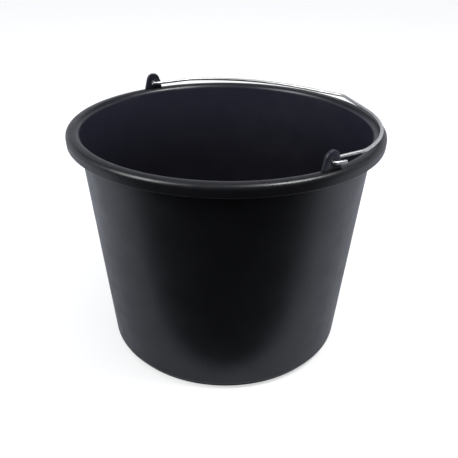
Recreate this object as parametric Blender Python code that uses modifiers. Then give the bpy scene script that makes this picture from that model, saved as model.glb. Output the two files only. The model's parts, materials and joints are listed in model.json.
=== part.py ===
"""Florist bucket: a moulded plastic bucket with a swinging wire bail.

The bucket is one moulding: a tapered wall, a base that stands on a low foot
ring, a rolled rim with a downturned skirt, and two upright ears on top of the
rim.  The bail is one steel wire.  Each of its legs comes down inside an ear,
turns out through the ear's hole and ends in a short tail, so the wire itself
is the hinge pin.  The ears stand on the X axis, and the bail lies folded down
on the rim towards +Y.  Metres, +Z up, the origin on the floor at the centre
of the foot ring.
"""
import bpy
import bmesh
from math import acos, asin, atan2, cos, degrees, pi, radians, sin, sqrt, tan

MM = 0.001

# Bucket body
HEIGHT = 237 * MM                # floor to the top of the rim
WALL_TOP_RADIUS = 146 * MM       # outside of the wall, carried up to the rim's top
WALL_FOOT_RADIUS = 123.6 * MM    # outside of the wall, carried down to the floor
WALL = 1.8 * MM
BASE = 2.2 * MM
BASE_CORNER = 9.5 * MM           # outside radius between wall and base
FLOOR_CORNER = 6 * MM            # inside radius between wall and floor

# Foot ring that the bucket stands on
FOOT_RADIUS = 119 * MM
FOOT_WIDTH = 3 * MM
FOOT_HEIGHT = 2.5 * MM           # recess of the base inside the ring
CORNER_LIFT = 1.5 * MM           # where the outside corner would level out, behind the ring

# Rolled rim with its downturned skirt
RIM_RADIUS = 157.5 * MM
RIM_CORNER = 4.5 * MM            # outer corner between the flat top and the skirt
RIM_INNER_CORNER = 3.8 * MM      # inner corner between the wall and the flat top
RIM_THICKNESS = 2 * MM
SKIRT_DEPTH = 11.5 * MM
SKIRT_THICKNESS = 1.8 * MM
SKIRT_TUCK = 0.6 * MM            # how far the skirt leans in at its lower edge

# Ears, flat tabs that stand on the rim across the X axis
EAR_DISTANCE = 150.5 * MM        # bucket's axis to the middle of the ear's thickness
EAR_THICKNESS = 3.3 * MM
EAR_TOP_RADIUS = 7.9 * MM
EAR_HEIGHT = 17.4 * MM
EAR_HALF_BASE = 10.7 * MM        # half of the ear's width where it meets the rim
EAR_ROOT = 1 * MM                # depth that the ear is rooted in the rim
HOLE_RISE = 7 * MM               # rim's top to the hinge axis
HOLE_RADIUS = 2.4 * MM

# Bail
WIRE_RADIUS = 1.6 * MM
BAIL_RADIUS = 151.3 * MM         # main bow, about the bucket's axis
LEG_DISTANCE = 144.5 * MM        # bucket's axis to each straight leg
SHOULDER_BEND = 30 * MM          # bend between the bow and a leg
PEAK_ANGLE = radians(20)         # half of the turn at the blunt point in the middle
PEAK_BEND = 12 * MM
HOOK_BEND = 4 * MM               # centre-line radius of the bend inside the ear
TAIL_BEND_START = 151.6 * MM
TAIL_BEND = 2.6 * MM             # centre-line radius of the bend outside the ear
TAIL_ANGLE = radians(80)         # turn between the hinge axis and the tail
TAIL_LENGTH = 9.8 * MM
REST_GAP = 0.8 * MM              # between the folded wire and the rim

# Facets
TURN_STEPS = 96
CORNER_STEPS = 4
BASE_CORNER_STEPS = 6
EAR_ARC_STEPS = 8                # quarter and a little more, from a straight side to the top
HOLE_STEPS = 20
PEAK_STEPS = 3
SHOULDER_STEPS = 4
HOOK_STEPS = 5
BOW_STEP_DEGREES = 3
WIRE_SIDES_RESOLUTION = 2        # gives the round wire eight sides
MERGE = 0.00001

QUARTER = pi / 2
HINGE_HEIGHT = HEIGHT + HOLE_RISE
REST_DROP = asin((HOLE_RISE - WIRE_RADIUS - REST_GAP) / BAIL_RADIUS)


def clear_scene():
    """Start from an empty file."""
    for old in list(bpy.data.objects):
        bpy.data.objects.remove(old, do_unlink=True)


def new_collection(name):
    """A collection of that name, linked to the scene."""
    collection = bpy.data.collections.new(name)
    bpy.context.scene.collection.children.link(collection)
    return collection


def plain_material(name, color, roughness, metallic):
    """A Principled BSDF material."""
    material = bpy.data.materials.new(name)
    material.use_nodes = True
    shader = material.node_tree.nodes["Principled BSDF"]
    shader.inputs["Base Color"].default_value = (*color, 1)
    shader.inputs["Roughness"].default_value = roughness
    shader.inputs["Metallic"].default_value = metallic
    return material


def arc(across, up, radius, start, end, steps):
    """Points on a circular arc about (across, up), both ends included."""
    angles = [start + (end - start) * i / steps for i in range(steps + 1)]
    return [(across + radius * cos(a), up + radius * sin(a)) for a in angles]


def wall_radius(height):
    """Outside radius of the tapered wall at a height."""
    return WALL_FOOT_RADIUS + (WALL_TOP_RADIUS - WALL_FOOT_RADIUS) * height / HEIGHT


def bucket_profile():
    """The moulding's cross-section, from the floor's middle round to the base's middle."""
    taper = atan2(WALL_TOP_RADIUS - WALL_FOOT_RADIUS, HEIGHT)
    floor = FOOT_HEIGHT + BASE
    inner_radius = wall_radius(floor + FLOOR_CORNER) - WALL - FLOOR_CORNER
    rim_inner_radius = wall_radius(HEIGHT - RIM_INNER_CORNER) - WALL + RIM_INNER_CORNER
    rim_under = HEIGHT - RIM_THICKNESS
    lip_radius = RIM_RADIUS - SKIRT_TUCK
    lip_height = HEIGHT - SKIRT_DEPTH
    corner_height = CORNER_LIFT + BASE_CORNER
    base_radius = wall_radius(corner_height) - BASE_CORNER
    corner_end = -acos((FOOT_RADIUS - base_radius) / BASE_CORNER)

    points = [(0, floor)]
    points += arc(inner_radius, floor + FLOOR_CORNER, FLOOR_CORNER, -QUARTER, -taper, CORNER_STEPS)
    points += arc(rim_inner_radius, HEIGHT - RIM_INNER_CORNER, RIM_INNER_CORNER,
                  pi - taper, QUARTER, CORNER_STEPS)
    points += arc(RIM_RADIUS - RIM_CORNER, HEIGHT - RIM_CORNER, RIM_CORNER, QUARTER, 0, CORNER_STEPS)
    points += [
        (lip_radius, lip_height),
        (lip_radius - SKIRT_THICKNESS, lip_height),
        (RIM_RADIUS - SKIRT_THICKNESS, HEIGHT - RIM_CORNER),
        (RIM_RADIUS - RIM_CORNER, rim_under),
        (wall_radius(rim_under) + RIM_THICKNESS, rim_under),
        (wall_radius(rim_under - RIM_THICKNESS), rim_under - RIM_THICKNESS),
    ]
    points += arc(base_radius, corner_height, BASE_CORNER, -taper, corner_end, BASE_CORNER_STEPS)
    points += [
        (FOOT_RADIUS, 0),
        (FOOT_RADIUS - FOOT_WIDTH, 0),
        (FOOT_RADIUS - FOOT_WIDTH, FOOT_HEIGHT),
        (0, FOOT_HEIGHT),
    ]
    return points


def turned_body(name, profile, collection, material):
    """A profile turned about the Z axis by a Screw modifier."""
    mesh = bpy.data.meshes.new(name)
    shape = bmesh.new()
    ring = [shape.verts.new((across, 0, up)) for across, up in profile]
    for first, second in zip(ring, ring[1:]):
        shape.edges.new((first, second))
    shape.to_mesh(mesh)
    shape.free()
    body = bpy.data.objects.new(name, mesh)
    collection.objects.link(body)
    mesh.materials.append(material)

    turn = body.modifiers.new("turn", "SCREW")
    turn.axis = "Z"
    turn.angle = 2 * pi
    turn.steps = TURN_STEPS
    turn.render_steps = TURN_STEPS
    turn.use_merge_vertices = True
    turn.merge_threshold = MERGE
    turn.use_smooth_shade = True
    return body


def ear_outline():
    """The tab's outline: a round top on straight sides that widen down to the rim."""
    top_centre = EAR_HEIGHT - EAR_TOP_RADIUS
    reach = sqrt(EAR_HALF_BASE ** 2 + top_centre ** 2)
    side_angle = acos(EAR_TOP_RADIUS / reach) - atan2(top_centre, EAR_HALF_BASE)
    widening = tan(side_angle) * EAR_ROOT
    half = [(EAR_HALF_BASE + widening, -EAR_ROOT)]
    half += arc(0, top_centre, EAR_TOP_RADIUS, side_angle, QUARTER, EAR_ARC_STEPS)
    return half + [(-across, up) for across, up in reversed(half[:-1])]


def closed_spline(curve, points):
    """Add a closed outline to a flat curve."""
    spline = curve.splines.new("POLY")
    spline.points.add(len(points) - 1)
    for point, (across, up) in zip(spline.points, points):
        point.co = (across, up, 0, 1)
    spline.use_cyclic_u = True


def ear_blank(name, side, collection):
    """One ear with its hole, standing across the X axis, as a closed mesh."""
    curve = bpy.data.curves.new(name + "_outline", "CURVE")
    curve.dimensions = "2D"
    curve.fill_mode = "BOTH"
    curve.extrude = EAR_THICKNESS / 2
    closed_spline(curve, ear_outline())
    closed_spline(curve, arc(0, HOLE_RISE, HOLE_RADIUS, 0, 2 * pi, HOLE_STEPS)[:-1])
    outline = bpy.data.objects.new(name + "_outline", curve)
    collection.objects.link(outline)
    outline.rotation_euler = (QUARTER, 0, QUARTER)
    outline.location = (side * EAR_DISTANCE, 0, HEIGHT)
    bpy.context.view_layer.update()

    evaluated = outline.evaluated_get(bpy.context.evaluated_depsgraph_get())
    mesh = bpy.data.meshes.new_from_object(evaluated)
    weld = bmesh.new()
    weld.from_mesh(mesh)
    bmesh.ops.remove_doubles(weld, verts=weld.verts, dist=MERGE)
    weld.to_mesh(mesh)
    weld.free()
    ear = bpy.data.objects.new(name, mesh)
    ear.matrix_world = outline.matrix_world
    collection.objects.link(ear)
    bpy.data.objects.remove(outline, do_unlink=True)
    ear.hide_render = True
    ear.display_type = "WIRE"
    return ear


def make_bucket(collection, cutters):
    """The one-piece moulding: turned body and the two ears grown into its rim."""
    plastic = plain_material("black_plastic", (0.012, 0.012, 0.014), 0.38, 0)
    bucket = turned_body("bucket", bucket_profile(), collection, plastic)
    for side, name in ((1, "ear_right"), (-1, "ear_left")):
        join = bucket.modifiers.new(name, "BOOLEAN")
        join.operation = "UNION"
        join.solver = "EXACT"
        join.object = ear_blank(name, side, cutters)
    return bucket


def bail_half():
    """The wire's middle line on the +X side, from the blunt point to the tail's end."""
    peak_centre = (BAIL_RADIUS - PEAK_BEND) / cos(PEAK_ANGLE)
    shoulder_across = LEG_DISTANCE - SHOULDER_BEND
    shoulder_along = sqrt((BAIL_RADIUS - SHOULDER_BEND) ** 2 - shoulder_across ** 2)
    shoulder_angle = atan2(shoulder_along, shoulder_across)
    hook_across = LEG_DISTANCE + HOOK_BEND
    bow_steps = round(degrees(QUARTER - PEAK_ANGLE - shoulder_angle) / BOW_STEP_DEGREES)

    line = arc(0, peak_centre, PEAK_BEND, QUARTER, QUARTER - PEAK_ANGLE, PEAK_STEPS)
    line += arc(0, 0, BAIL_RADIUS, QUARTER - PEAK_ANGLE, shoulder_angle, bow_steps)
    line += arc(shoulder_across, shoulder_along, SHOULDER_BEND, shoulder_angle, 0, SHOULDER_STEPS)[1:]
    line += arc(hook_across, HOOK_BEND, HOOK_BEND, pi, pi + QUARTER, HOOK_STEPS)
    line += arc(TAIL_BEND_START, TAIL_BEND, TAIL_BEND, -QUARTER, TAIL_ANGLE - QUARTER, HOOK_STEPS)
    tail_across, tail_along = line[-1]
    line.append((tail_across + TAIL_LENGTH * cos(TAIL_ANGLE), tail_along + TAIL_LENGTH * sin(TAIL_ANGLE)))
    return line


def make_bail(collection):
    """The wire bail, its origin on the hinge axis, dropped onto the rim."""
    half = bail_half()
    line = [(-across, along) for across, along in reversed(half[1:])] + half
    curve = bpy.data.curves.new("bail", "CURVE")
    curve.dimensions = "3D"
    curve.bevel_depth = WIRE_RADIUS
    curve.bevel_resolution = WIRE_SIDES_RESOLUTION
    curve.use_fill_caps = True
    spline = curve.splines.new("POLY")
    spline.points.add(len(line) - 1)
    for point, (across, along) in zip(spline.points, line):
        point.co = (across, along, 0, 1)
    spline.use_smooth = True
    bail = bpy.data.objects.new("bail", curve)
    collection.objects.link(bail)
    bail.location = (0, 0, HINGE_HEIGHT)
    bail.rotation_euler = (-REST_DROP, 0, 0)
    curve.materials.append(plain_material("galvanised_wire", (0.62, 0.63, 0.64), 0.28, 1))
    return bail


def build():
    """Make the two pieces of the florist bucket."""
    clear_scene()
    parts = new_collection("florist_bucket")
    cutters = new_collection("cutters")
    make_bucket(parts, cutters)
    make_bail(parts)
    bpy.context.view_layer.update()


build()
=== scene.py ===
# %% [markdown]
# # A florist's bucket
# A flower bucket is two pieces: one black plastic moulding, and one steel wire
# that is its bail.  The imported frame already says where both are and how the
# bail turns, so this lesson only makes the surfaces that are seen: a fine
# turned moulding with its ears, a wire swept along its bends, and the finish
# of each.  Everything is in metres, Z up, and the ears stand on the X axis.

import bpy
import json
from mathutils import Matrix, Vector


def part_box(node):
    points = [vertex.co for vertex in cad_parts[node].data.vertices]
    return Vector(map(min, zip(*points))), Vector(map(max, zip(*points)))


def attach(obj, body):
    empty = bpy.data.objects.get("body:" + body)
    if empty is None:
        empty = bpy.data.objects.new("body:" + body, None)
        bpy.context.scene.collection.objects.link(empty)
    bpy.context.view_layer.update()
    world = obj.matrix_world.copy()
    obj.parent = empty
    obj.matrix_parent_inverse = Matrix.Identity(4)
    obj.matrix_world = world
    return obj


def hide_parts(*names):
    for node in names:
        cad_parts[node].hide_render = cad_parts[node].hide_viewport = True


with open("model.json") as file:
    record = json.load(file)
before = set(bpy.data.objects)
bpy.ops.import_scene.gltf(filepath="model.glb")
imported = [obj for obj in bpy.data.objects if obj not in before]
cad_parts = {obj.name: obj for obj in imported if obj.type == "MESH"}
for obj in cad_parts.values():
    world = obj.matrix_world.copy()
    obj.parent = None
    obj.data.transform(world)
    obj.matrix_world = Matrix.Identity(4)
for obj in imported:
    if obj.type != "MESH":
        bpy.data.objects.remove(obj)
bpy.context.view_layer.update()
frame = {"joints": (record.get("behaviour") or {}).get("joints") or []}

# %% [markdown]
# ## Measures to work from
# A maker starts from a few measures that have to be met: how high and how
# wide the moulding is, and where the bail turns.  They could be typed in
# again, but then the surfaces and the frame could drift apart, so they are
# read from the frame.  Every other size is written as a number of MM.

# %% Tools and measures
import json
from math import acos, asin, atan2, cos, pi, radians, sin, sqrt, tan

import bmesh
import bpy
from mathutils import Matrix, Vector

MM = 0.001
QUARTER = pi / 2
MERGE = 0.00001
bucket_low, bucket_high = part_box("bucket")
bail_low, bail_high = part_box("bail")
hinge = Vector(frame["joints"][0]["pos_m"])
print("bucket", [round(v / MM, 1) for v in bucket_high - bucket_low], "hinge height", round(hinge.z / MM, 1))

# %% [markdown]
# ## Lines made of straights and bends
# A drawing of a moulding's section and a bent wire are the same thing: corner
# points, each with a bend radius.  One way is to place every point by hand,
# but then a radius can't be changed.  Here a front (a single vertex, or a
# ring of edges) is carried along the corners by the Spin operator: with no
# angle it runs straight, with an angle it goes round the bend's centre.  A
# vertex draws a section and a ring sweeps a wire, with the same helper.

# %% Follow corners with a front
BEND_STEP = radians(9)


def bend_at(before, corner, after, radius):
    """Where a bend of that radius starts and ends at a corner, its centre, and its signed turn."""
    towards = (corner - before).normalized()
    away = (after - corner).normalized()
    turn = atan2(towards.x * away.y - towards.y * away.x, towards.dot(away))
    setback = radius * tan(abs(turn) / 2)
    start = corner - towards * setback
    side = Vector((-towards.y, towards.x)) * (1 if turn > 0 else -1)
    return start, corner + away * setback, start + side * radius, turn


def follow(shape, front, corners, place, axis, on_ring=None, step=BEND_STEP):
    """Carry a front along corners ((across, up), radius), in the plane that place() puts them in."""
    here, travelled = Vector(corners[0][0]), 0

    def carry(front, centre, angle, shift):
        made = bmesh.ops.spin(shape, geom=front, cent=place(centre), axis=axis, dvec=shift,
                              angle=angle, steps=1, use_merge=False, use_duplicate=False)
        return made["geom_last"]

    for index in range(1, len(corners)):
        corner, radius = Vector(corners[index][0]), corners[index][1]
        start, end, centre, turn = corner, corner, corner, 0
        if index < len(corners) - 1 and radius > 0:
            start, end, centre, turn = bend_at(here, corner, Vector(corners[index + 1][0]), radius)
        if (start - here).length > MERGE:
            travelled += (start - here).length
            front = carry(front, here, 0, place(start) - place(here))
            if on_ring:
                on_ring(front, travelled)
        steps = max(1, round(abs(turn) / step))
        for _ in range(steps if turn else 0):
            travelled += radius * abs(turn) / steps
            front = carry(front, centre, turn / steps, Vector((0, 0, 0)))
            if on_ring:
                on_ring(front, travelled)
        here = end
    return front


def upright(point):
    """A section's (radius, height) as a place in the XZ plane."""
    return Vector((point[0], 0, point[1]))


print("a right-angled bend takes", round(QUARTER / BEND_STEP), "steps")

# %% [markdown]
# ## The moulding's section
# The bucket is injection moulded: a thin wall that leans out so that it
# leaves the mould and nests, a floor lifted on a foot ring, and a rim that is
# rolled outwards and down into a skirt.  The wall is 1.8 mm and the same all
# the way up.  The section is drawn once, from the middle of the floor, up the
# inside, over the rim, down the outside and back under the base, then turned.

# %% Sizes of the section
HOLE_RISE = 7 * MM
HEIGHT = round(hinge.z - HOLE_RISE, 5)
RIM_RADIUS = bucket_high.y
WALL = 1.8 * MM
WALL_TOP, WALL_FOOT = 146 * MM, 123.6 * MM
FOOT_HEIGHT, FOOT_RADIUS, FOOT_WIDTH = 2.5 * MM, 119 * MM, 3 * MM
FLOOR = FOOT_HEIGHT + 2.2 * MM
BASE_SHOULDER = 4.53 * MM
RIM_ROLL = 4.5 * MM
RIM_PLATE = 2 * MM
RIM_CREST = 151 * MM             # from here the rim's top starts to fall
RIM_FALL = 0.3 * MM
SKIRT = 11.5 * MM
SKIRT_TUCK = 0.6 * MM
INNER_RIM_BEND, CREST_BEND, UNDER_RIM_BEND = 5.6 * MM, 20 * MM, 2 * MM
FLOOR_BEND, SHOULDER_BEND = 6 * MM, 9 * MM
FOOT_TOP, FOOT_TOP_BEND, FOOT_EDGE, FOOT_ROOT = 2.3 * MM, 0.3 * MM, 0.5 * MM, 0.6 * MM


def wall_at(height):
    """Outside radius of the wall."""
    return WALL_FOOT + (WALL_TOP - WALL_FOOT) * height / HEIGHT


def section_corners():
    """Corner points of the section, each with its bend radius."""
    lip = RIM_RADIUS - SKIRT_TUCK
    under = HEIGHT - RIM_PLATE
    skirt_foot = HEIGHT - SKIRT
    lip_round = WALL / 2 - 0.05 * MM
    inner_roll = RIM_RADIUS - WALL
    crown = HEIGHT - RIM_FALL
    return [
        ((0, FLOOR), 0),
        ((wall_at(FLOOR) - WALL, FLOOR), FLOOR_BEND),
        ((wall_at(HEIGHT) - WALL, HEIGHT), INNER_RIM_BEND),
        ((RIM_CREST, HEIGHT), CREST_BEND),
        ((RIM_RADIUS, crown), RIM_ROLL),
        ((lip, skirt_foot), lip_round),
        ((lip - WALL, skirt_foot), lip_round),
        ((inner_roll, under), RIM_ROLL - WALL),
        ((wall_at(under), under), UNDER_RIM_BEND),
        ((wall_at(BASE_SHOULDER), BASE_SHOULDER), SHOULDER_BEND),
        ((FOOT_RADIUS, FOOT_TOP), FOOT_TOP_BEND),
        ((FOOT_RADIUS, 0), FOOT_EDGE),
        ((FOOT_RADIUS - FOOT_WIDTH, 0), FOOT_EDGE),
        ((FOOT_RADIUS - FOOT_WIDTH, FOOT_HEIGHT), FOOT_ROOT),
        ((0, FOOT_HEIGHT), 0),
    ]


print("section of", len(section_corners()), "corners, rim", round(RIM_RADIUS / MM, 2), "mm from the axis")

# %% [markdown]
# ## Turning it
# Apart from its ears, a bucket is the same all the way round, as if it had
# been turned on a lathe.  A cylinder could be scaled and inset ring by ring, but the
# Spin operator turns the drawn section in one go, and every bend keeps its
# radius.  A full turn needs use_merge, or the first and last copies lie on
# each other as an open seam.  The two ends of the section lie on the axis,
# where merging doubles closes each into a pole.

# %% Turn the section into the moulding
TURN_STEPS = 240


def turned_moulding():
    """The bucket without its ears, as one closed shell."""
    shape = bmesh.new()
    first = shape.verts.new(upright((0, FLOOR)))
    follow(shape, [first], section_corners(), upright, (0, -1, 0))
    bmesh.ops.spin(shape, geom=shape.verts[:] + shape.edges[:], cent=(0, 0, 0), axis=(0, 0, 1),
                   angle=2 * pi, steps=TURN_STEPS, use_merge=True)
    bmesh.ops.remove_doubles(shape, verts=shape.verts, dist=MERGE)
    bmesh.ops.recalc_face_normals(shape, faces=shape.faces)
    return shape


def new_piece(name, shape, material):
    """A smooth-shaded object at the origin from a finished bmesh."""
    mesh = bpy.data.meshes.new(name)
    shape.to_mesh(mesh)
    shape.free()
    mesh.shade_smooth()
    piece = bpy.data.objects.new(name, mesh)
    bpy.context.scene.collection.objects.link(piece)
    mesh.materials.append(material)
    return piece


print("turned in", TURN_STEPS, "steps of", 360 / TURN_STEPS, "degrees")

# %% [markdown]
# ## The ears
# Each ear is a tab that stands on the rim, moulded with it, with a round top
# and a hole for the wire.  It is drawn as an outline with a hole in it,
# filled, and pulled to its thickness.  A small bevel takes the hard edge off,
# because a mould never leaves one.  The ear grows out of the rim, so the two
# are joined with a Boolean union and not just pushed together.

# %% Make one ear
EAR_MIDDLE = 150.5 * MM
EAR_THICKNESS = 3.3 * MM
EAR_ROUND = 7.9 * MM
EAR_TOP = bucket_high.z - HEIGHT
EAR_HALF_BASE = 10.7 * MM
EAR_ROOT = 1 * MM                # how deep the blank reaches into the rim
EAR_EDGE = 0.55 * MM
EAR_STEP = radians(7.5)
HOLE_RADIUS = 2.4 * MM


def ear_plate(side):
    """A drilled tab across the X axis; side is 1 or -1."""
    shape = bmesh.new()
    face_x = side * (EAR_MIDDLE + EAR_THICKNESS / 2)

    def on_face(point):
        return Vector((face_x, point[0], HEIGHT + point[1]))

    round_height = EAR_TOP - EAR_ROUND
    reach = sqrt(EAR_HALF_BASE ** 2 + round_height ** 2)
    lean = acos(EAR_ROUND / reach) - atan2(round_height, EAR_HALF_BASE)
    corners = [
        ((0, -EAR_ROOT), 0),
        ((EAR_HALF_BASE + tan(lean) * EAR_ROOT, -EAR_ROOT), 0),
        ((EAR_ROUND * tan((QUARTER - lean) / 2), EAR_TOP), EAR_ROUND * 0.998),
        ((0, EAR_TOP), 0),
    ]
    first = shape.verts.new(on_face(corners[0][0]))
    follow(shape, [first], corners, on_face, (1, 0, 0), step=EAR_STEP)
    bmesh.ops.mirror(shape, geom=shape.verts[:] + shape.edges[:], matrix=Matrix.Identity(4),
                     merge_dist=MERGE, axis="Y")
    bmesh.ops.remove_doubles(shape, verts=shape.verts, dist=MERGE)
    turn = Matrix.Translation((face_x, 0, hinge.z)) @ Matrix.Rotation(QUARTER, 4, "Y")
    bmesh.ops.create_circle(shape, cap_ends=False, radius=HOLE_RADIUS, segments=40, matrix=turn)
    bmesh.ops.triangle_fill(shape, use_beauty=True, use_dissolve=False, edges=shape.edges)
    raised = bmesh.ops.extrude_face_region(shape, geom=shape.faces[:], use_keep_orig=True)
    moved = [part for part in raised["geom"] if isinstance(part, bmesh.types.BMVert)]
    bmesh.ops.translate(shape, verts=moved, vec=(-side * EAR_THICKNESS, 0, 0))
    bmesh.ops.recalc_face_normals(shape, faces=shape.faces)
    hard = [edge for edge in shape.edges if edge.calc_face_angle(0) > radians(60)]
    outline = [edge for edge in hard if abs(edge.verts[0].co.x - edge.verts[1].co.x) < MERGE]
    bmesh.ops.bevel(shape, geom=outline, offset=EAR_EDGE, offset_type="OFFSET", affect="EDGES",
                    segments=3, profile=0.5, material=-1, clamp_overlap=True)
    return shape


print("ear", round(2 * EAR_ROUND / MM, 1), "mm wide at the top,", round(EAR_TOP / MM, 1), "mm high")

# %% [markdown]
# ## Helpers for finishes
# A finish is a small network: a place on the piece feeds a pattern, the
# pattern's range is mapped onto a colour or a roughness, and that feeds the
# shader.  The network could be drawn by hand in the shader editor.  Here each
# usual step is a helper, so that a finish reads as a list of what it does.

# %% Helpers for node materials
def start_material(name):
    """A new node material: returns it, its tree and its shader."""
    material = bpy.data.materials.new(name)
    material.use_nodes = True
    return material, material.node_tree, material.node_tree.nodes["Principled BSDF"]


def add(tree, kind, **settings):
    """A node with its settings; settings that name an input set that input's value."""
    node = tree.nodes.new(kind)
    for key, value in settings.items():
        if hasattr(node, key):
            setattr(node, key, value)
        else:
            node.inputs[key].default_value = value
    return node


def math_node(tree, operation, first, second=None):
    """A Math node; each operand is a number or a socket."""
    node = add(tree, "ShaderNodeMath", operation=operation)
    for slot, operand in enumerate((first, second)):
        if operand is None:
            continue
        if isinstance(operand, (int, float)):
            node.inputs[slot].default_value = operand
        else:
            tree.links.new(operand, node.inputs[slot])
    return node.outputs[0]


def noise_at(tree, place, scale, detail, roughness=0.5):
    """A noise pattern's value at a place."""
    node = add(tree, "ShaderNodeTexNoise", Scale=scale, Detail=detail, Roughness=roughness)
    tree.links.new(place, node.inputs["Vector"])
    return node.outputs["Fac"]


def spread(tree, value, low, high, to_low, to_high):
    """Map a value's range onto another, held at both ends and eased."""
    node = add(tree, "ShaderNodeMapRange", interpolation_type="SMOOTHSTEP")
    tree.links.new(value, node.inputs["Value"])
    for name, number in (("From Min", low), ("From Max", high), ("To Min", to_low), ("To Max", to_high)):
        node.inputs[name].default_value = number
    return node.outputs["Result"]


def blend(tree, factor, first, second):
    """Blend one colour into another; each is (red, green, blue) or a socket."""
    node = add(tree, "ShaderNodeMix", data_type="RGBA")
    tree.links.new(factor, node.inputs["Factor"])
    for name, colour in (("A", first), ("B", second)):
        if isinstance(colour, tuple):
            node.inputs[name].default_value = (*colour, 1)
        else:
            tree.links.new(colour, node.inputs[name])
    return node.outputs["Result"]


def object_place(tree):
    """The place on the piece itself, in metres."""
    return add(tree, "ShaderNodeTexCoord").outputs["Object"]


def bumps(tree, shader, layers):
    """Chain (height, distance, strength) layers of bump into the shader."""
    normal = None
    for height, distance, strength in layers:
        node = add(tree, "ShaderNodeBump", Strength=strength, Distance=distance)
        tree.links.new(height, node.inputs["Height"])
        if normal:
            tree.links.new(normal, node.inputs["Normal"])
        normal = node.outputs["Normal"]
    tree.links.new(normal, shader.inputs["Normal"])


print("helpers", [helper.__name__ for helper in (noise_at, spread, blend, object_place, bumps)])

# %% [markdown]
# ## Where things are on the wall
# Scuffs run up and down the wall, so their pattern has to be laid out by
# angle and height and not by plain X, Y and Z.  The inside and the ears are
# painted paler than the outer wall, more so towards the rim: painted light
# for the light that falls in from above.  So the material also has to know
# which side of the wall it is on.  A second material slot could do that, but
# the rim would then have a hard line.  Comparing the radius with the wall's
# middle gives a soft one.

# %% Find the angle, the height and the inside
MEAN_RADIUS = 135 * MM
PAINTED_LIGHT_START = 140 * MM


def wall_layout(tree, place):
    """Sockets for the length round the wall, the height, and how far a point is inside or on an ear."""
    split = add(tree, "ShaderNodeSeparateXYZ")
    tree.links.new(place, split.inputs[0])
    angle = math_node(tree, "ARCTAN2", split.outputs["Y"], split.outputs["X"])
    around = math_node(tree, "MULTIPLY", angle, MEAN_RADIUS)
    flat = add(tree, "ShaderNodeCombineXYZ")
    tree.links.new(split.outputs["X"], flat.inputs["X"])
    tree.links.new(split.outputs["Y"], flat.inputs["Y"])
    radius = add(tree, "ShaderNodeVectorMath", operation="LENGTH")
    tree.links.new(flat.outputs[0], radius.inputs[0])
    height = split.outputs["Z"]
    rise = math_node(tree, "MULTIPLY", height, (WALL_TOP - WALL_FOOT) / HEIGHT)
    middle = math_node(tree, "ADD", rise, WALL_FOOT - WALL / 2)
    outward = math_node(tree, "SUBTRACT", radius.outputs["Value"], middle)
    inside = spread(tree, outward, -0.3 * MM, 0.3 * MM, 1, 0)
    on_ears = spread(tree, height, HEIGHT + 1 * MM, HEIGHT + 3 * MM, 0, 1)
    return around, height, math_node(tree, "MAXIMUM", inside, on_ears)


def nesting_scuffs(tree, place, around, height):
    """Long thin upright lines, gathered in areas."""
    scuff_place = add(tree, "ShaderNodeCombineXYZ")
    tree.links.new(math_node(tree, "MULTIPLY", around, 900), scuff_place.inputs["X"])
    tree.links.new(math_node(tree, "MULTIPLY", height, 22), scuff_place.inputs["Y"])
    lines = spread(tree, noise_at(tree, scuff_place.outputs[0], 1, 2), 0.66, 0.8, 0, 1)
    areas = spread(tree, noise_at(tree, place, 14, 3), 0.5, 0.68, 0, 1)
    return math_node(tree, "MULTIPLY", lines, areas)


print("wall leans", round((WALL_TOP - WALL_FOOT) / HEIGHT, 4), "outwards for each unit of height")

# %% [markdown]
# ## Black moulded plastic
# Flower buckets are moulded from black polypropylene, often recycled.  It is
# a deep black with a satin skin: the sheen comes from the surface and not
# from the colour.  One flat black could stand for it, but it would look like
# a cut-out.  So the skin gets a very fine grain from the tool, faint waviness
# where the wall cooled, and pale scuffs, because buckets are pushed into each
# other and pulled apart.

# %% The plastic
def black_plastic():
    """Satin black polypropylene with nesting scuffs, and painted light inside and on the ears."""
    material, tree, shader = start_material("black_moulded_plastic")
    place = object_place(tree)
    around, height, dull = wall_layout(tree, place)
    scuffs = nesting_scuffs(tree, place, around, height)

    black = blend(tree, noise_at(tree, place, 30, 4), (0.0040, 0.0041, 0.0052), (0.0062, 0.0063, 0.0080))
    worn = blend(tree, math_node(tree, "MULTIPLY", scuffs, 0.5), black, (0.09, 0.09, 0.095))
    # Painted light: inside the bucket and on the ears the colour is paler towards the rim, standing in for
    # light from above; deeper inside it is darker, as painted shade.
    upwards = spread(tree, height, PAINTED_LIGHT_START, HEIGHT, 0, 1)
    painted_inside_light = blend(tree, upwards, (0.0048, 0.0048, 0.0070), (0.0116, 0.0122, 0.0200))
    tree.links.new(blend(tree, dull, worn, painted_inside_light), shader.inputs["Base Color"])

    satin = spread(tree, noise_at(tree, place, 55, 5, 0.6), 0.3, 0.7, 0.3, 0.38)
    rubbed = math_node(tree, "MULTIPLY", scuffs, 0.2)
    tree.links.new(math_node(tree, "ADD", satin, rubbed), shader.inputs["Roughness"])
    bumps(tree, shader, [
        (noise_at(tree, place, 9, 1), 0.6 * MM, 0.05),
        (noise_at(tree, place, 1700, 2), 0.03 * MM, 0.12),
        (scuffs, 0.05 * MM, 0.3),
    ])
    shader.inputs["IOR"].default_value = 1.49
    return material


plastic = black_plastic()
print("plastic", len(plastic.node_tree.nodes), "nodes")

# %% [markdown]
# ## One moulding
# Ears and bucket come out of the mould as one piece, so they have to be one
# skin.  Pushing an ear into the rim would leave two surfaces inside each
# other and a hard line where they meet.  An exact Boolean union cuts them
# along that line and keeps one skin.  The modifier is applied at once, so that
# the piece which stands for the bucket is plain mesh.

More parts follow.
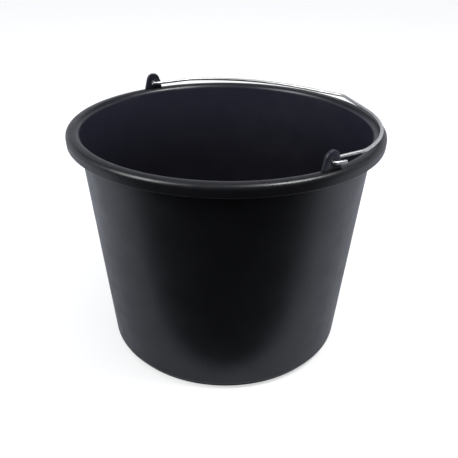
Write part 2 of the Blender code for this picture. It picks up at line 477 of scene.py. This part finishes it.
# %% Assemble the moulding
def join_ears(bucket):
    """Union the ears into the rim with applied Boolean modifiers."""
    for side, name in ((1, "right"), (-1, "left")):
        ear = new_piece("ear_blank_" + name, ear_plate(side), bucket.data.materials[0])
        join = bucket.modifiers.new("ear_" + name, "BOOLEAN")
        join.operation = "UNION"
        join.solver = "EXACT"
        join.object = ear
        bpy.context.view_layer.update()
        whole = bpy.data.meshes.new_from_object(
            bucket.evaluated_get(bpy.context.evaluated_depsgraph_get()))
        bucket.modifiers.clear()
        bucket.data = whole
        bpy.data.objects.remove(ear, do_unlink=True)
    bucket.data.set_sharp_from_angle(angle=radians(40))


bucket = new_piece("bucket_moulding", turned_moulding(), plastic)
join_ears(bucket)
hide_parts("bucket")
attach(bucket, "bucket_body")
print("moulding", len(bucket.data.polygons), "faces")

# %% [markdown]
# ## The wire bail
# The bail is one length of galvanised wire, bent on a former: a blunt point
# in the middle that centres it on a hook, a round bow, two shoulders, two
# straight legs, and at each end a hook through the ear with a short tail.  A
# ring of edges swept along those bends keeps its size in every bend, which a
# scaled or bridged tube doesn't.  Each ring notes how far along the wire it
# is, so the drawing marks can run with the wire.

# %% Sizes and route of the wire
WIRE_RADIUS = 1.59 * MM
WIRE_SIDES = 20
WIRE_STEP = radians(3)
BOW_RADIUS = 151.3 * MM
LEG = 144.5 * MM
SHOULDER = 30 * MM
POINT_ANGLE = radians(20)
POINT_BEND = 12 * MM
HOOK = 4 * MM
TAIL_BEND_START = 151.6 * MM
TAIL_BEND = 2.6 * MM
TAIL_ANGLE = radians(80)
TAIL = 9.8 * MM
TAIL_EDGE = 0.3 * MM
REST_DROP = 4.6 * MM             # how far below the hinge the folded wire is, BOW_RADIUS away from it
drop = asin(REST_DROP / BOW_RADIUS)


def wire_corners():
    """Corners of the wire's middle line from the point to the tail's end."""
    shoulder_x = LEG - SHOULDER
    shoulder_angle = acos(shoulder_x / (BOW_RADIUS - SHOULDER))
    bow_start = QUARTER - POINT_ANGLE
    bow_middle = (bow_start + shoulder_angle) / 2
    bow_corner = BOW_RADIUS / cos((bow_start - shoulder_angle) / 2)
    shoulder_y = (BOW_RADIUS - LEG * cos(shoulder_angle)) / sin(shoulder_angle)
    tail_setback = TAIL_BEND * tan(TAIL_ANGLE / 2)
    tail_corner = TAIL_BEND_START + tail_setback
    tail_run = TAIL + tail_setback
    return [
        ((0, BOW_RADIUS / cos(POINT_ANGLE)), 0),
        ((bow_corner * cos(bow_middle), bow_corner * sin(bow_middle)), BOW_RADIUS),
        ((LEG, shoulder_y), SHOULDER),
        ((LEG, 0), HOOK),
        ((tail_corner, 0), TAIL_BEND),
        ((tail_corner + tail_run * cos(TAIL_ANGLE), tail_run * sin(TAIL_ANGLE)), 0),
    ]


for corner, bend in wire_corners():
    print("wire corner", [round(v / MM, 1) for v in corner], "bend", round(bend / MM, 1))

# %% [markdown]
# ## Sweeping the wire
# A bench bender holds the wire and turns it round a pin, bend after bend, and
# the sweep does the same with a ring of edges.  A curve with a round bevel
# would be quicker, but it gives no say over the rings and stores nothing on
# them.  Half the wire is swept and then mirrored, because the two halves come
# off the same former.  Only the tail's end is capped, since the other end
# meets its mirror image.

# %% Sweep the wire
def folded(point):
    """A point of the bail's own plane, as a place with the bail folded down on the rim."""
    return hinge + Matrix.Rotation(-drop, 3, "X") @ Vector((point[0], point[1], 0))


def swept_wire():
    """Half the wire swept from the point to the tail, then mirrored."""
    shape = bmesh.new()
    along = shape.verts.layers.float.new("along")
    around = shape.verts.layers.float_vector.new("around")
    corners = wire_corners()
    normal = Matrix.Rotation(-drop, 3, "X") @ Vector((0, 0, 1))

    # The ring starts on the mirror plane, at the blunt point, and goes round half of its bend.
    peak_y = (BOW_RADIUS - POINT_BEND) / cos(POINT_ANGLE) + POINT_BEND
    start = Matrix.Translation(folded((0, peak_y))) @ Matrix.Rotation(QUARTER, 4, "Y")
    ring = bmesh.ops.create_circle(shape, cap_ends=False, radius=WIRE_RADIUS,
                                   segments=WIRE_SIDES, matrix=start)
    for vert in ring["verts"]:
        spot = (vert.co - folded((0, peak_y))) / WIRE_RADIUS
        vert[around] = (0, spot.y, spot.z)
    front = ring["verts"] + shape.edges[:]

    def note(front, travelled):
        for part in front:
            if isinstance(part, bmesh.types.BMVert):
                part[along] = travelled

    point_corner = (POINT_BEND * tan(POINT_ANGLE / 2), peak_y)
    route = [((0, peak_y), 0), (point_corner, POINT_BEND)] + corners[1:]
    last = follow(shape, front, route, folded, normal, note, step=WIRE_STEP)
    end_edges = [part for part in last if isinstance(part, bmesh.types.BMEdge)]
    cap = bmesh.ops.edgeloop_fill(shape, edges=end_edges)["faces"]
    bmesh.ops.bevel(shape, geom=cap[0].edges[:], offset=TAIL_EDGE, offset_type="OFFSET",
                    affect="EDGES", segments=2, profile=0.5, material=-1)
    bmesh.ops.mirror(shape, geom=shape.verts[:] + shape.edges[:] + shape.faces[:],
                     matrix=Matrix.Identity(4), merge_dist=MERGE, axis="X")
    bmesh.ops.remove_doubles(shape, verts=shape.verts, dist=MERGE)
    bmesh.ops.recalc_face_normals(shape, faces=shape.faces)
    return shape


print("wire", round(2 * WIRE_RADIUS / MM, 2), "mm thick, folded", round(drop, 4), "radians below level")

# %% [markdown]
# ## Bright galvanised wire
# Bail wire is drawn through a die and zinc coated.  It is a bright grey
# metal, a little blurred, with hair-fine marks along its length and small
# duller patches.  Marks laid out on X, Y and Z would cross the wire wherever
# it bends.  So they are a noise stretched along the wire, which reads the
# ring's own direction and the distance along the wire, as the sweep stored
# them on the mesh.

# %% The wire's metal
def galvanised_wire():
    """Zinc-coated drawn steel wire."""
    material, tree, shader = start_material("galvanised_drawn_wire")
    along = add(tree, "ShaderNodeAttribute", attribute_name="along").outputs["Fac"]
    around = add(tree, "ShaderNodeAttribute", attribute_name="around").outputs["Vector"]
    split = add(tree, "ShaderNodeSeparateXYZ")
    tree.links.new(around, split.inputs[0])
    marks_place = add(tree, "ShaderNodeCombineXYZ")
    tree.links.new(math_node(tree, "MULTIPLY", along, 30), marks_place.inputs["X"])
    tree.links.new(math_node(tree, "MULTIPLY", split.outputs["Y"], 9), marks_place.inputs["Y"])
    tree.links.new(math_node(tree, "MULTIPLY", split.outputs["Z"], 9), marks_place.inputs["Z"])
    marks = noise_at(tree, marks_place.outputs[0], 1, 4, 0.65)
    patches = noise_at(tree, object_place(tree), 160, 3)

    zinc = blend(tree, spread(tree, patches, 0.35, 0.65, 0, 1), (0.64, 0.645, 0.65), (0.78, 0.78, 0.78))
    tree.links.new(zinc, shader.inputs["Base Color"])
    dull = spread(tree, patches, 0.35, 0.7, 0.46, 0.36)
    tree.links.new(dull, shader.inputs["Roughness"])
    shader.inputs["Metallic"].default_value = 1
    bumps(tree, shader, [(marks, 0.04 * MM, 0.35), (patches, 0.05 * MM, 0.15)])
    return material


bail = new_piece("wire_bail", swept_wire(), galvanised_wire())
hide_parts("bail")
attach(bail, "bail_body")
low = [min(v.co[i] for v in bail.data.vertices) for i in range(3)]
high = [max(v.co[i] for v in bail.data.vertices) for i in range(3)]
print("wire", len(bail.data.polygons), "faces")
for title, made, wanted in (("low", low, bail_low), ("high", high, bail_high)):
    print(title, [round(v / MM, 2) for v in made], "frame's", [round(v / MM, 2) for v in wanted])

# %% [markdown]
# ## A floor that sweeps up
# Small goods are shown on a pale sheet that curves up behind them, so that no
# horizon cuts across.  A flat plane would end in a line.  Here the same
# helpers turn a floor and a wall with one large bend between them.  The sheet
# glows a little, so that it stays even.  It is hidden from reflections and
# from bounced light, so that it doesn't light the black plastic from below.

# %% Floor and backdrop
STUDIO_RADIUS, STUDIO_SWEEP, STUDIO_HEIGHT = 6, 2, 8


def matt(name, first, second, scale):
    """A dull paint, very slightly uneven between two colours."""
    material, tree, shader = start_material(name)
    colour = blend(tree, noise_at(tree, object_place(tree), scale, 2), first, second)
    tree.links.new(colour, shader.inputs["Base Color"])
    shader.inputs["Roughness"].default_value = 0.9
    return material, shader


sheet_paint, sheet_shader = matt("pale_floor", (0.35, 0.35, 0.345), (0.36, 0.36, 0.355), 3)
sheet_shader.inputs["Emission Color"].default_value = (1, 1, 1, 1)
sheet_shader.inputs["Emission Strength"].default_value = 0.52
floor_shape = bmesh.new()
follow(floor_shape, [floor_shape.verts.new((0, 0, 0))],
       [((0, 0), 0), ((STUDIO_RADIUS, 0), STUDIO_SWEEP), ((STUDIO_RADIUS, STUDIO_HEIGHT), 0)],
       upright, (0, -1, 0))
bmesh.ops.spin(floor_shape, geom=floor_shape.verts[:] + floor_shape.edges[:], cent=(0, 0, 0),
               axis=(0, 0, 1), angle=2 * pi, steps=48, use_merge=True)
bmesh.ops.remove_doubles(floor_shape, verts=floor_shape.verts, dist=MERGE)
bmesh.ops.recalc_face_normals(floor_shape, faces=floor_shape.faces)
bmesh.ops.reverse_faces(floor_shape, faces=floor_shape.faces)
floor = new_piece("floor", floor_shape, sheet_paint)
floor.visible_glossy = floor.visible_diffuse = floor.visible_shadow = False
print("backdrop", STUDIO_RADIUS, "m out and", STUDIO_HEIGHT, "m high")

# %% [markdown]
# ## A board to be mirrored
# Shiny black shows what stands round it.  A grey board under the bucket, which
# ends just in front of the foot, gives the low wall its arched reflection.
# The floor itself could be mirrored, but its own brightness would then be too
# strong.  So the board is seen only by reflections and never by the camera.

# %% Board under the bucket
VIEW_SIDE = radians(-35)         # direction of the camera from the bucket, round from +X
BOARD_FRONT = 23 * MM            # how far the board reaches in front of the wall's foot
BOARD_REACH = 3
BOARD_LIFT = 0.1 * MM
board_shape = bmesh.new()
bmesh.ops.create_grid(board_shape, x_segments=1, y_segments=1, size=BOARD_REACH)
bmesh.ops.transform(board_shape, verts=board_shape.verts,
                    matrix=Matrix.Rotation(VIEW_SIDE + QUARTER, 4, "Z")
                    @ Matrix.Translation((0, BOARD_REACH - WALL_FOOT - BOARD_FRONT, BOARD_LIFT)))
board_paint = matt("board_paint", (0.29, 0.30, 0.33), (0.325, 0.335, 0.37), 5)[0]
board = new_piece("board_under_the_bucket", board_shape, board_paint)
board.visible_camera = board.visible_diffuse = board.visible_shadow = False
print("board's front edge", round((WALL_FOOT + BOARD_FRONT) / MM, 1), "mm from the axis")

# %% [markdown]
# ## The camera
# The bucket is seen from above the rim and a little to one side, as by
# someone who stands over it, so both the inside and the wall show.  The
# camera could be aimed by a constraint, but a plain set of angles says
# exactly where it looks: down, slightly to the right, with a slight roll.
# Depth of field stays off, so everything is sharp.

# %% Camera
VIEW_DISTANCE = 591.7 * MM
VIEW_HEIGHT = 429.6 * MM
VIEW_DOWN = radians(27.93)
VIEW_RIGHT = radians(0.355)
VIEW_ROLL = radians(0.673)
camera = bpy.data.objects.new("camera", bpy.data.cameras.new("camera"))
bpy.context.scene.collection.objects.link(camera)
camera.data.lens = 48.23
camera.data.clip_start = 10 * MM
heading = VIEW_SIDE + QUARTER - VIEW_RIGHT
camera.matrix_world = (
    Matrix.Translation((VIEW_DISTANCE * cos(VIEW_SIDE), VIEW_DISTANCE * sin(VIEW_SIDE), VIEW_HEIGHT))
    @ Matrix.Rotation(heading, 4, "Z") @ Matrix.Rotation(QUARTER - VIEW_DOWN, 4, "X")
    @ Matrix.Rotation(VIEW_ROLL, 4, "Z"))
bpy.context.scene.camera = camera
print("camera", round(VIEW_DISTANCE / MM), "mm out and", round(VIEW_HEIGHT / MM), "mm up")

# %% [markdown]
# ## Surroundings and lights
# Black plastic shows little of its own colour, so it is lit by what it
# mirrors.  The surroundings are pale away from the camera, which draws the
# wall's edges, and dark on the camera's side, which keeps its face black.
# Lamps alone could light it, but they would leave hard spots.  Two soft boxes
# above, one to each side, put a line of light along the rim, and a very wide
# sun stands for a soft ceiling.

# %% Surroundings and lights
BOX_DISTANCE = 1.6


def surroundings():
    """Pale behind and beside the bucket, dark on the side that the camera looks from."""
    world = bpy.data.worlds.new("studio")
    world.use_nodes = True
    tree = world.node_tree
    back = tree.nodes["Background"]
    way = add(tree, "ShaderNodeTexCoord").outputs["Generated"]
    front = add(tree, "ShaderNodeVectorMath", operation="DOT_PRODUCT")
    tree.links.new(way, front.inputs[0])
    front.inputs[1].default_value = (cos(VIEW_SIDE), sin(VIEW_SIDE), 0)
    split = add(tree, "ShaderNodeSeparateXYZ")
    tree.links.new(way, split.inputs[0])
    beside = spread(tree, front.outputs["Value"], -0.25, 0.42, 0.78, 0.03)
    above = spread(tree, split.outputs["Z"], 0.3, 0.42, 1, 0.12)
    overhead = spread(tree, split.outputs["Z"], 0.5, 0.9, 0, 0.24)
    level = math_node(tree, "ADD", math_node(tree, "MULTIPLY", beside, above), overhead)
    tree.links.new(level, back.inputs["Strength"])
    back.inputs["Color"].default_value = (0.89, 0.92, 1.0, 1)
    bpy.context.scene.world = world


def soft_box(name, way, size, power):
    """A square area light in a direction (right, away, up) from the rim, aimed at it."""
    light = bpy.data.lights.new(name, "AREA")
    light.size = size
    light.energy = power
    lamp = bpy.data.objects.new(name, light)
    bpy.context.scene.collection.objects.link(lamp)
    turned = Matrix.Rotation(VIEW_SIDE + QUARTER, 3, "Z") @ Vector(way).normalized()
    lamp.location = Vector((0, 0, HEIGHT)) + turned * BOX_DISTANCE
    lamp.rotation_euler = (-turned).to_track_quat("-Z", "Y").to_euler()
    lamp.visible_camera = False


surroundings()
soft_box("soft_box_left", (-0.72, -0.3, 0.7), 0.8, 19)
soft_box("soft_box_right", (0.48, -0.16, 0.86), 0.5, 24)
sky = bpy.data.objects.new("overhead_sky", bpy.data.lights.new("overhead_sky", "SUN"))
bpy.context.scene.collection.objects.link(sky)
sky.data.energy = 3.2
sky.data.angle = radians(110)
sky.data.color = (0.93, 0.95, 1)
sky.rotation_euler = (radians(12), 0, VIEW_SIDE + QUARTER)
sky.visible_glossy = False
bpy.context.scene.view_settings.view_transform = "Standard"
